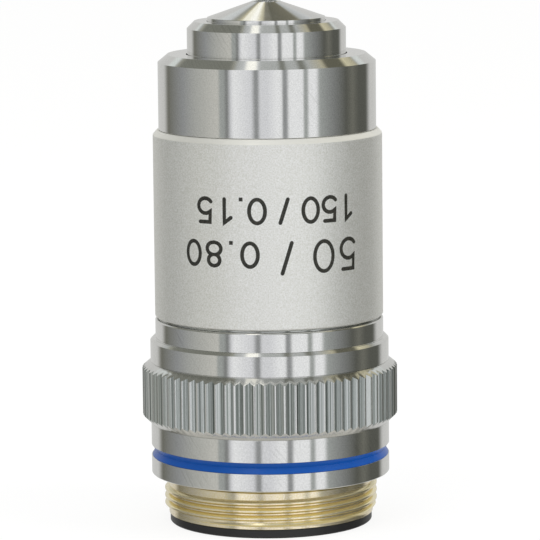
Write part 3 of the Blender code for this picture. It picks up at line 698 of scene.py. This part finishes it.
def ring_of_teeth(tree, given):
    """Copies one sector of the grip round the axis, joins the copies and lets the cut wander."""
    turn = add(tree, "ShaderNodeMath", {0: math.tau, 1: given["Teeth"]}, operation="DIVIDE")
    index = add(tree, "GeometryNodeInputIndex")
    angle = add(tree, "ShaderNodeMath", {0: index, 1: turn}, operation="MULTIPLY")
    seats = add(tree, "GeometryNodeMeshLine", {"Count": given["Teeth"], "Offset": (0, 0, 0)})
    copies = add(tree, "GeometryNodeInstanceOnPoints", {
        "Points": seats, "Instance": given["Sector"],
        "Rotation": add(tree, "ShaderNodeCombineXYZ", {"Z": angle}),
    })
    joined = add(tree, "GeometryNodeMergeByDistance", {
        0: add(tree, "GeometryNodeRealizeInstances", {0: copies}), "Distance": given["Join within"],
    })
    place = add(tree, "GeometryNodeInputPosition")
    column = add(tree, "ShaderNodeVectorMath", {0: place, 1: (1, 1, 0)}, operation="MULTIPLY")
    fineness = add(tree, "ShaderNodeMath", {0: 1.0, 1: given["Wander size"]}, operation="DIVIDE")
    noise = add(tree, "ShaderNodeTexNoise", {"Vector": column, "Scale": fineness, "Detail": 0.0})
    sideways = add(tree, "ShaderNodeMath", {0: noise, 1: 0.5}, operation="SUBTRACT")
    drift = add(tree, "ShaderNodeMath", {0: sideways, 1: given["Wander"]}, operation="MULTIPLY")
    moved = add(tree, "ShaderNodeVectorRotate", {
        "Vector": place, "Angle": drift,
    }, rotation_type="Z_AXIS")
    return add(tree, "GeometryNodeSetPosition", {"Geometry": joined, "Position": moved})


def tooth_sector(grip):
    """One groove with half of the crest on each side, as an open shell with its inner wall."""
    foot, low, high, top = grip
    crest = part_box("main_barrel")[1].x
    lower_slope = (low.y - foot.y) / (low.x - foot.x)
    upper_slope = (top.y - high.y) / (high.x - top.x)
    half_pitch, half_groove = math.pi / TEETH * crest, GROOVE_WIDTH / 2
    groove = [
        (half_pitch, 0), (half_groove, 0), (0, -GROOVE_DEPTH), (-half_groove, 0), (-half_pitch, 0),
    ]
    columns = []
    for point, _ in eased([Vector(p) for p in groove], TOOTH_EDGE, closed=False)[::-1]:
        radius = crest + point.y
        rise = radius - foot.x
        line = [
            foot, Vector((radius, foot.y + rise * lower_slope)),
            Vector((radius, top.y - rise * upper_slope)), top,
        ]
        rows = [p for p, _ in eased(line, TOOTH_EDGE, closed=False)]
        rows += [Vector((top.x - GRIP_WALL, top.y)), Vector((foot.x - GRIP_WALL, foot.y))]
        columns.append((point.x / crest, rows))
    deep = len(columns[0][1])
    points = [
        (p.x * math.cos(angle), p.x * math.sin(angle), p.y) for angle, rows in columns for p in rows
    ]
    faces = [
        [column * deep + row, (column + 1) * deep + row,
         (column + 1) * deep + (row + 1) % deep, column * deep + (row + 1) % deep]
        for column in range(len(columns) - 1)
        for row in range(deep)
    ]
    mesh = bpy.data.meshes.new("tooth_sector")
    mesh.from_pydata(points, [], faces)
    return mesh


def make_barrel():
    """The barrel's turned body, and its knurled grip as a second piece."""
    outline, grip = split_barrel()
    ring_low, ring_high = (corner.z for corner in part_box("colour_ring"))
    edges = [
        SHARP_EDGE if ring_low - BESIDE_RING < p.y < ring_high + BESIDE_RING else EDGE_BREAK
        for p in outline
    ]
    body = turned("barrel_body", eased(outline, edges), finishes["polished_chrome"])
    dress(body, FIXED, "polished_chrome", "main_barrel")
    values = {
        "Sector": None, "Teeth": TEETH, "Join within": SAME_POINT,
        "Wander": TOOL_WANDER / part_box("main_barrel")[1].x / NOISE_REACH,
        "Wander size": WANDER_SIZE, "Finish": finishes["knurled_chrome"],
    }
    teeth = grown("knurled_grip", ring_of_teeth, values, tooth_sector(grip))
    dress(teeth, FIXED, "polished_chrome", "main_barrel")


def helical_ridge(tree, given):
    """Sweeps the thread's form along a helix that fades at both ends, and cuts the lead chamfer.

    Reverse makes the spiral climb anticlockwise, which is right-handed.
    """
    turns, core = given["Turns"], given["Core radius"]
    climb = add(tree, "ShaderNodeMath", {0: turns, 1: given["Pitch"]}, operation="MULTIPLY")
    spiral = add(tree, "GeometryNodeCurveSpiral", {
        "Resolution": given["Steps a turn"], "Rotations": turns, "Height": climb,
        "Start Radius": core, "End Radius": core, "Reverse": True,
    })
    placed = add(tree, "GeometryNodeTransform", {
        "Geometry": spiral,
        "Translation": add(tree, "ShaderNodeCombineXYZ", {"Z": given["Foot"]}),
        "Rotation": add(tree, "ShaderNodeCombineXYZ", {"Z": given["Start angle"]}),
    })
    upright = add(tree, "GeometryNodeSetCurveNormal", {0: placed}, mode="Z_UP")

    along = add(tree, "GeometryNodeSplineParameter")
    left = add(tree, "ShaderNodeMath", {0: 1.0, 1: along}, operation="SUBTRACT")
    to_end = add(tree, "ShaderNodeMath", {0: along, 1: left}, operation="MINIMUM")
    fade = add(tree, "ShaderNodeMapRange", {
        "Value": add(tree, "ShaderNodeMath", {0: to_end, 1: turns}, operation="MULTIPLY"),
        "From Max": given["Fade turns"], "To Min": given["Least fade"],
    })

    half_root, half_crest = (
        add(tree, "ShaderNodeMath", {0: given[width], 1: 0.5}, operation="MULTIPLY")
        for width in ("Root width", "Crest width")
    )
    inside, low_root, low_crest = (
        add(tree, "ShaderNodeMath", {0: value, 1: -1.0}, operation="MULTIPLY")
        for value in (given["Sink"], half_root, half_crest)
    )
    corners = [
        (inside, low_root), (given["Depth"], low_crest), (given["Depth"], half_crest),
        (inside, half_root),
    ]
    form = add(tree, "GeometryNodeCurvePrimitiveQuadrilateral", {
        f"Point {place}": add(tree, "ShaderNodeCombineXYZ", {"X": out, "Y": up})
        for place, (out, up) in enumerate(corners, 1)
    }, mode="POINTS")
    rounded = add(tree, "GeometryNodeFilletCurve", {
        "Curve": form, "Count": 3, "Radius": given["Crest rounding"], "Limit Radius": True,
    }, mode="POLY")
    ridge = add(tree, "GeometryNodeCurveToMesh", {
        "Curve": upright, "Profile Curve": rounded, "Scale": fade, "Fill Caps": True,
    })

    place = add(tree, "GeometryNodeInputPosition")
    limit = add(tree, "ShaderNodeMapRange", {
        "Value": add(tree, "ShaderNodeSeparateXYZ", {0: place}).outputs["Z"],
        "From Min": given["Chamfer foot"], "From Max": given["Chamfer top"],
        "To Min": given["Pilot radius"],
        "To Max": add(tree, "ShaderNodeMath", {0: core, 1: given["Depth"]}),
    })
    fit = add(tree, "ShaderNodeMath", {0: limit, 1: off_axis(tree, place)}, operation="DIVIDE")
    share = add(tree, "ShaderNodeMath", {0: 1.0, 1: fit}, operation="MINIMUM")
    inward = add(tree, "ShaderNodeCombineXYZ", {"X": share, "Y": share, "Z": 1.0})
    kept = add(tree, "ShaderNodeVectorMath", {0: place, 1: inward}, operation="MULTIPLY")
    return add(tree, "GeometryNodeSetPosition", {"Geometry": ridge, "Position": kept})


def make_screw_mount():
    """The mount's turned core, and its thread as a second piece round it."""
    outline = outline_of("thread_mount")
    crest = max(p.x for p in outline)
    threaded = [i for i, p in enumerate(outline) if p.x > crest - SAME_POINT]
    first, last = threaded[0], threaded[-1]
    pilot, chamfer_top, neck_top = outline[first - 1], outline[first], outline[last + 2]
    core = crest - THREAD_DEPTH
    outline[first : last + 3] = [
        Vector((core, pilot.y + pilot.x - core)), Vector((core, neck_top.y)),
    ]
    body = turned("mount_core", eased(outline, SHARP_EDGE), finishes["bare_brass"])
    dress(body, FIXED, "bare_brass", "thread_mount")

    end_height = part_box("main_barrel")[0].z - THREAD_END_DROP
    values = {
        "Turns": THREAD_TURNS, "Pitch": PITCH, "Core radius": core,
        "Foot": end_height - THREAD_TURNS * PITCH,
        "Start angle": THREAD_END_ANGLE - math.tau * THREAD_TURNS,
        "Depth": THREAD_DEPTH, "Crest width": THREAD_CREST, "Root width": THREAD_ROOT,
        "Sink": THREAD_SINK, "Crest rounding": CREST_ROUNDING,
        "Fade turns": FADE_TURNS, "Least fade": FADE_LEAST, "Steps a turn": THREAD_STEPS,
        "Chamfer foot": pilot.y, "Chamfer top": chamfer_top.y,
        "Pilot radius": pilot.x, "Finish": finishes["bare_brass"],
    }
    empty = bpy.data.meshes.new("screw_thread")
    thread = grown("screw_thread", helical_ridge, values, empty)
    dress(thread, FIXED, "bare_brass", "thread_mount")


def closed_ended_coil(tree, given):
    """Sweeps round wire along a right-handed coil whose end turns lie closed."""
    turns, pitch, closed = given["Turns"], given["Closed pitch"], given["Closed turns"]
    rings = add(tree, "GeometryNodeCurveSpiral", {
        "Resolution": given["Steps a turn"], "Rotations": turns, "Height": 0.0,
        "Start Radius": given["Coil radius"], "End Radius": given["Coil radius"], "Reverse": True,
    })
    along = add(tree, "GeometryNodeSplineParameter")
    turn = add(tree, "ShaderNodeMath", {0: along, 1: turns}, operation="MULTIPLY")
    shut = add(tree, "ShaderNodeMath", {0: turns, 1: pitch}, operation="MULTIPLY")
    opened = add(tree, "ShaderNodeMapRange", {
        "Value": turn, "From Min": closed,
        "From Max": add(tree, "ShaderNodeMath", {0: turns, 1: closed}, operation="SUBTRACT"),
        "To Max": add(tree, "ShaderNodeMath", {0: given["Rise"], 1: shut}, operation="SUBTRACT"),
    })
    climb = add(tree, "ShaderNodeMath", {0: turn, 1: pitch, 2: opened}, operation="MULTIPLY_ADD")
    height = add(tree, "ShaderNodeMath", {0: given["Foot"], 1: climb})
    coil = add(tree, "GeometryNodeSetPosition", {
        "Geometry": rings, "Offset": add(tree, "ShaderNodeCombineXYZ", {"Z": height}),
    })
    section = add(tree, "GeometryNodeCurvePrimitiveCircle", {
        "Resolution": given["Wire sides"], "Radius": given["Wire radius"],
    })
    return add(tree, "GeometryNodeCurveToMesh", {
        "Curve": coil, "Profile Curve": section, "Fill Caps": True,
    })


def make_return_spring():
    """The return spring, standing on the barrel."""
    low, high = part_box("return_spring")
    values = {
        "Turns": COIL_TURNS, "Closed turns": CLOSED_TURNS, "Closed pitch": CLOSED_PITCH,
        "Coil radius": high.x - WIRE / 2, "Wire radius": WIRE / 2,
        "Foot": low.z + WIRE / 2, "Rise": high.z - low.z - WIRE,
        "Steps a turn": COIL_STEPS, "Wire sides": WIRE_SIDES, "Finish": finishes["spring_steel"],
    }
    empty = bpy.data.meshes.new("spring_wire")
    spring = grown("spring_wire", closed_ended_coil, values, empty)
    dress(spring, FIXED, "spring_steel", "return_spring")
    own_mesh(spring)


# Printed numbers


def oval(half_width, half_height, middle):
    """An oval loop about the line x = 0."""
    turns = [math.tau * step / CURVE_STEPS for step in range(CURVE_STEPS)]
    return [Vector((half_width * math.cos(t), middle + half_height * math.sin(t))) for t in turns]


def stroke(path, pen):
    """The outline of a line drawn along the path with a round pen."""
    path = [Vector(p) for p in path]
    sides = []
    for line in (path, path[::-1]):
        for index, point in enumerate(line[:-1]):
            ahead = (line[index + 1] - point).normalized()
            before = (point - line[index - 1]).normalized() if index else ahead
            if index == 0:
                cap = [Matrix.Rotation(math.radians(turn), 2) @ -ahead for turn in (-45, 0, 45)]
                sides += [point + c * pen / 2 for c in cap]
            middle = (before + ahead).normalized()
            out = Vector((middle.y, -middle.x)) * (pen / 2 / max(middle.dot(ahead), MITRE_LIMIT))
            sides.append(point + out)
        last = (line[-1] - line[-2]).normalized()
        sides.append(line[-1] + Vector((last.y, -last.x)) * pen / 2)
    return sides


def sign_loops(sign, pen):
    """The closed outlines of a sign one unit high with its foot at the origin, drawn by the pen."""
    half = pen / 2
    if sign == "0":
        wide, tall, middle = ZERO
        return [oval(wide, tall, middle), oval(wide - pen, tall - pen, middle)]
    if sign == "8":
        wide, tall, middle = EIGHT_HEAD
        lower, upper = EIGHT_FOOT, (wide, tall + half / 2, middle - half / 2)
        right = []
        for step in range(CURVE_STEPS + 1):
            level = step / CURVE_STEPS
            widths = [
                wide * math.sqrt(max(0.0, 1 - ((level - middle) / tall) ** 2))
                for wide, tall, middle in (lower, upper)
            ]
            right.append(Vector((max(widths), level)))
        left = [Vector((-p.x, p.y)) for p in right[-2:0:-1]]
        holes = [oval(wide - pen, tall - pen, middle) for wide, tall, middle in (lower, upper)]
        return [right + left, *holes]
    if sign == ".":
        out = POINT_WIDTH / 2
        return [[Vector(p) for p in ((-out, 0), (out, 0), (out, POINT_WIDTH), (-out, POINT_WIDTH))]]
    if sign == "/":
        return [stroke([(-SLASH_LEAN, half), (SLASH_LEAN, 1 - half)], pen)]
    if sign == "1":
        return [stroke([ONE_FLAG, (ONE_STEM, 1 - half), (ONE_STEM, half)], pen)]
    wide, middle, turns = FIVE_BOWL
    bowl = [
        (wide * math.cos(math.radians(t)), middle + (middle - half) * math.sin(math.radians(t)))
        for t in turns
    ]
    return [stroke([(FIVE_TIP, 1 - half), (FIVE_BACK, 1 - half), *bowl], pen)]


def printed(name, height, signs):
    """Digits wrapped on the sleeve with this base line, read with the front end down."""
    sleeve_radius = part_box("sleeve")[1].x
    curve = bpy.data.curves.new(name, "CURVE")
    curve.dimensions = "2D"
    curve.fill_mode = "BOTH"
    curve.extrude = (INK_RISE + INK_SINK) / 2
    for sign, degrees, tall in signs:
        across = -math.radians(degrees) * sleeve_radius
        for loop in sign_loops(sign, PEN / (tall * MM)):
            spline = curve.splines.new("POLY")
            spline.points.add(len(loop) - 1)
            for place, point in zip(spline.points, loop):
                place.co = (across + point.x * tall * MM, point.y * tall * MM, 0, 1)
            spline.use_cyclic_u = True
    flat = bpy.data.objects.new(name, curve)
    bpy.context.scene.collection.objects.link(flat)
    bpy.context.view_layer.update()
    evaluated = flat.evaluated_get(bpy.context.evaluated_depsgraph_get())
    mesh = bpy.data.meshes.new_from_object(evaluated)
    bpy.data.objects.remove(flat)
    form = bmesh.new()
    form.from_mesh(mesh)
    bmesh.ops.remove_doubles(form, verts=form.verts, dist=WELD)
    # On the flat form this faces every sign outwards, and the wrap keeps that.
    bmesh.ops.recalc_face_normals(form, faces=form.faces)
    reach = max(abs(v.co.x) for v in form.verts)
    for step in range(int(-reach / WRAP_STEP), int(reach / WRAP_STEP) + 1):
        bmesh.ops.bisect_plane(
            form, geom=form.verts[:] + form.edges[:] + form.faces[:], dist=WELD,
            plane_co=(step * WRAP_STEP, 0, 0), plane_no=(1, 0, 0),
        )
    for v in form.verts:
        angle = -v.co.x / sleeve_radius
        radius = sleeve_radius + v.co.z + (INK_RISE - INK_SINK) / 2
        v.co = (radius * math.sin(angle), -radius * math.cos(angle), height - v.co.y)
    form.to_mesh(mesh)
    form.free()
    mesh.name = name
    mesh.materials.clear()
    mesh.materials.append(finishes["black_ink"])
    piece = bpy.data.objects.new(name, mesh)
    bpy.context.scene.collection.objects.link(piece)
    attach(piece, FIXED)


def print_numbers():
    """Both lines of numbers, over the sleeve's foot."""
    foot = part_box("sleeve")[0].z
    for name, height, signs in NUMBERS:
        printed(name, foot + height * MM, signs)


# Plain turned pieces


def make_turned_pieces():
    """The pieces that take their CAD outline as it is, with their edges rounded."""
    for node, body, slot, low_edge, high_edge in TURNED_NODES:
        outline = outline_of(node)
        middle = sum(corner.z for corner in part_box(node)) / 2
        rows = eased(outline, [low_edge if p.y < middle else high_edge for p in outline])
        dress(turned(f"rounded_{node}", rows, finishes[slot]), body, slot, node)


def make_colour_ring():
    """The enamel runs up to the walls of its groove."""
    low, high = (corner.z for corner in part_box("colour_ring"))
    middle, share = (low + high) / 2, 1 + 2 * ENAMEL_RUN / (high - low)
    outline = [Vector((p.x, middle + (p.y - middle) * share)) for p in outline_of("colour_ring")]
    ring = turned("enamel_ring", eased(outline, SHARP_EDGE), finishes["blue_enamel"])
    dress(ring, FIXED, "blue_enamel", "colour_ring")


# Finishes of the pieces that keep their CAD solids


def paint_inner_nodes():
    """Each solid that still shows takes the finish of its slot."""
    for part in frame["record"]["subparts"]:
        node = frame["nodes"][part["node"]]
        if not node.hide_render:
            node.data.materials.clear()
            node.data.materials.append(finishes[part["material_slot"]])


make_turned_pieces()
make_colour_ring()
make_barrel()
make_screw_mount()
make_return_spring()
print_numbers()
paint_inner_nodes()


# Stage


def make_world():
    """A white room for the eye, and for what mirrors it a light tent with gaps and lamps."""
    world = bpy.data.worlds.new("studio")
    bpy.context.scene.world = world
    world.use_nodes = True
    tree = world.node_tree
    tree.nodes.clear()

    direction = add(tree, "ShaderNodeTexCoord").outputs["Generated"]
    x, y, z = add(tree, "ShaderNodeSeparateXYZ", {0: direction}).outputs
    ahead, below = (
        add(tree, "ShaderNodeMath", {0: axis, 1: -1.0}, operation="MULTIPLY") for axis in (y, z)
    )
    at_back, at_far, at_ceiling, at_table = (
        add(tree, "ShaderNodeMapRange", {
            "Value": value, "From Min": low, "From Max": high,
        }, interpolation_type="SMOOTHSTEP")
        for value, low, high in (
            (y, BACK_FROM, BACK_TO), (y, FAR_FROM, FAR_TO), (z, CEILING_FROM, CEILING_TO),
            (below, TABLE_FROM, TABLE_TO),
        )
    )
    turn = add(tree, "ShaderNodeMath", {0: x, 1: ahead}, operation="ARCTAN2")
    around = add(tree, "ShaderNodeMath", {
        0: turn, 1: 1 / math.tau, 2: 0.5,
    }, operation="MULTIPLY_ADD")
    bands = add(tree, "ShaderNodeValToRGB", {"Fac": around}, [
        (0.5 + degrees / 360, TONES[tone]) for degrees, tone in WALL_BANDS
    ])
    walls = add(tree, "ShaderNodeMix", {
        0: at_back, 6: bands, 7: linear(WALL_BACK),
    }, data_type="RGBA").outputs[2]

    reach = add(tree, "ShaderNodeMath", {0: SIGHT, 1: y}, operation="SUBTRACT")
    seat = add(tree, "ShaderNodeMath", {0: x, 1: reach}, operation="ARCTAN2")
    place = add(tree, "ShaderNodeMath", {
        0: seat, 1: 1 / math.pi, 2: 0.5,
    }, operation="MULTIPLY_ADD")
    near, far = (
        add(tree, "ShaderNodeValToRGB", {"Fac": place}, [
            (0.5 + degrees / 180, TONES[tone]) for degrees, tone in strips
        ])
        for strips in (NEAR_STRIPS, FAR_STRIPS)
    )
    strips = add(tree, "ShaderNodeMix", {
        0: at_far, 6: near, 7: far,
    }, data_type="RGBA").outputs[2]
    lamps = add(tree, "ShaderNodeVectorMath", {
        0: strips, 1: (CEILING_GAIN,) * 3,
    }, operation="MULTIPLY")
    over_table = add(tree, "ShaderNodeMix", {
        0: at_ceiling, 6: walls, 7: lamps,
    }, data_type="RGBA").outputs[2]
    tent = add(tree, "ShaderNodeMix", {
        0: at_table, 6: over_table, 7: linear(TABLE),
    }, data_type="RGBA").outputs[2]

    rays = add(tree, "ShaderNodeLightPath").outputs
    lit = add(tree, "ShaderNodeMix", {
        0: rays["Is Glossy Ray"], 6: linear(ROOM_LIGHT), 7: tent,
    }, data_type="RGBA").outputs[2]
    seen = add(tree, "ShaderNodeMath", {
        0: rays["Is Camera Ray"], 1: rays["Is Transmission Ray"],
    }, operation="MAXIMUM")
    colour = add(tree, "ShaderNodeMix", {
        0: seen, 6: lit, 7: linear(WHITE),
    }, data_type="RGBA").outputs[2]
    shown = add(tree, "ShaderNodeBackground", {"Color": colour, "Strength": 1.0})
    add(tree, "ShaderNodeOutputWorld", {"Surface": shown})


def make_floor():
    """A pale floor that stays white for the eye and keeps the object's soft shadow."""
    material = bpy.data.materials.new("pale_floor")
    material.use_nodes = True
    tree = material.node_tree
    tree.nodes.clear()
    paint = add(tree, "ShaderNodeBsdfDiffuse", {"Color": linear(FLOOR_PAINT)})
    glow = add(tree, "ShaderNodeEmission", {"Color": linear(WHITE), "Strength": FLOOR_SHINE})
    rays = add(tree, "ShaderNodeLightPath").outputs
    straight = add(tree, "ShaderNodeMath", {
        0: rays["Is Camera Ray"], 1: rays["Is Glossy Ray"],
    }, operation="MAXIMUM")
    seen = add(tree, "ShaderNodeMath", {
        0: straight, 1: rays["Is Transmission Ray"],
    }, operation="MAXIMUM")
    share = add(tree, "ShaderNodeMath", {0: seen, 1: FLOOR_GLOW}, operation="MULTIPLY")
    mix = add(tree, "ShaderNodeMixShader", {0: share, 1: paint, 2: glow})
    add(tree, "ShaderNodeOutputMaterial", {"Surface": mix})
    points = [Vector(p) * FLOOR_REACH for p in ((-1, -1, 0), (1, -1, 0), (1, 1, 0), (-1, 1, 0))]
    floor = mesh_piece("floor", points, [(0, 1, 2, 3)], material)
    floor.visible_glossy = False


def make_lamp(name, place, power):
    """A round lamp aimed at the object, which no metal mirrors."""
    light = bpy.data.lights.new(name, "AREA")
    light.shape = "DISK"
    light.size = LAMP_SIZE
    light.energy = power
    lamp = bpy.data.objects.new(name, light)
    bpy.context.scene.collection.objects.link(lamp)
    lamp.location = place
    lamp.rotation_euler = (LAMP_AIM - Vector(place)).to_track_quat("-Z", "Y").to_euler()
    lamp.visible_glossy = False


def make_camera():
    """The camera, at the photograph's place."""
    camera = bpy.data.cameras.new("camera")
    camera.lens = CAMERA_LENS
    camera.sensor_width = CAMERA_SENSOR
    camera.clip_start = CAMERA_NEAREST
    holder = bpy.data.objects.new("camera", camera)
    bpy.context.scene.collection.objects.link(holder)
    tilt = Matrix.Rotation(CAMERA_PITCH, 4, "X") @ Matrix.Rotation(CAMERA_ROLL, 4, "Z")
    holder.matrix_world = Matrix.Translation(CAMERA_PLACE) @ tilt
    bpy.context.scene.camera = holder


make_world()
make_floor()
make_lamp("side_lamp", SIDE_PLACE, SIDE_POWER)
make_lamp("top_lamp", TOP_PLACE, TOP_POWER)
make_camera()
bpy.context.scene.view_settings.view_transform = "Standard"
